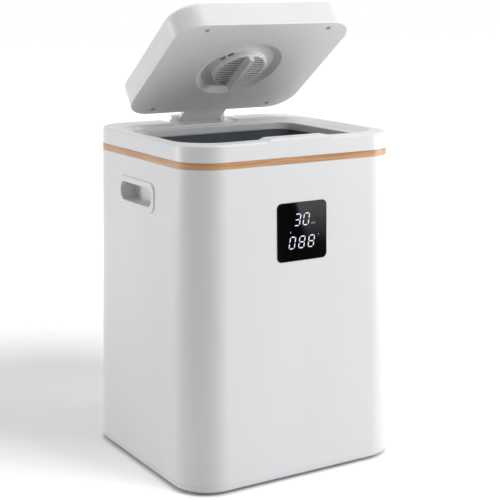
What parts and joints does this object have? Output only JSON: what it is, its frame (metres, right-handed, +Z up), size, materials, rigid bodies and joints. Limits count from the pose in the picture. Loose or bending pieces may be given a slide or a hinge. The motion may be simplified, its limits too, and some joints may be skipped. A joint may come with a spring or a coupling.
{
  "type": "bucket towel warmer",
  "caption": "Tapering white bucket with a wood band, display panel, side handles, heated inner bucket and a hinged lid with a twist-off fragrance cap.",
  "frame": {"origin": "on the floor, under the middle of the case", "axes": "+Z up, front with the display at -Y, handles at +X and -X, lid hinge at +Y"},
  "size_m": [0.2896, 0.2676, 0.5371],
  "materials": {
    "white_shell": "satin moulded white",
    "light_wood": "clear satin varnish over a straight grain",
    "anthracite_coating": "satin anthracite coating on drawn aluminium",
    "smoked_black_glass": "polished, digits shine through",
    "grey_rubber": "matte",
    "silicone": "translucent silicone",
    "heater_foil": "foil with an adhesive back",
    "insulation_felt": "needled fibre felt",
    "felt_pad": "absorbent felt",
    "inner_plastic": "unpolished",
    "circuit_board": "solder mask",
    "component_plastic": "moulded black",
    "steel": "zinc plated"
  },
  "bodies": {
    "case": {"base_plate": "white_shell", "base_screws": "steel", "beeper": "component_plastic", "board_components": "component_plastic", "board_screws": "steel", "bucket_gasket": "silicone", "bucket_pads": "silicone", "control_board": "circuit_board", "cord_gland": "grey_rubber", "display_bracket": "inner_plastic", "display_glass": "smoked_black_glass", "fuse_clip": "steel", "gland_nut": "inner_plastic", "heating_film": "heater_foil", "hinge_pins": "steel", "inner_bucket": "anthracite_coating", "insulation_sleeve": "insulation_felt", "led_module": "component_plastic", "left_handle_cup": "white_shell", "outer_shell": "white_shell", "power_board": "circuit_board", "power_board_screws": "steel", "right_handle_cup": "white_shell", "rim_screws": "steel", "rubber_feet": "grey_rubber", "temperature_sensor": "steel", "thermal_fuse": "steel", "thermostat": "component_plastic", "top_rim": "white_shell", "touch_springs": "steel", "wood_band": "light_wood"},
    "lid": {"lid_cover": "white_shell", "lid_inner_panel": "white_shell", "lid_screws": "steel", "hinge_arm": "white_shell", "hinge_arm_screws": "steel", "fragrance_cup": "white_shell"},
    "fragrance_cap": {"fragrance_cap": "white_shell", "fragrance_pad": "felt_pad"}
  },
  "joints": [
    {"name": "lid_hinge", "type": "hinge", "parent": "case", "child": "lid", "pos_m": [0, 0.11016, 0.3945], "axis": [-1, 0, 0], "range_deg": [-36, 50]},
    {"name": "fragrance_cap_twist", "type": "hinge", "parent": "lid", "child": "fragrance_cap", "pos_m": [0, 0.01214, 0.46572], "axis": [0, 0.5878, 0.809], "range_deg": [0, 60]}
  ]
}
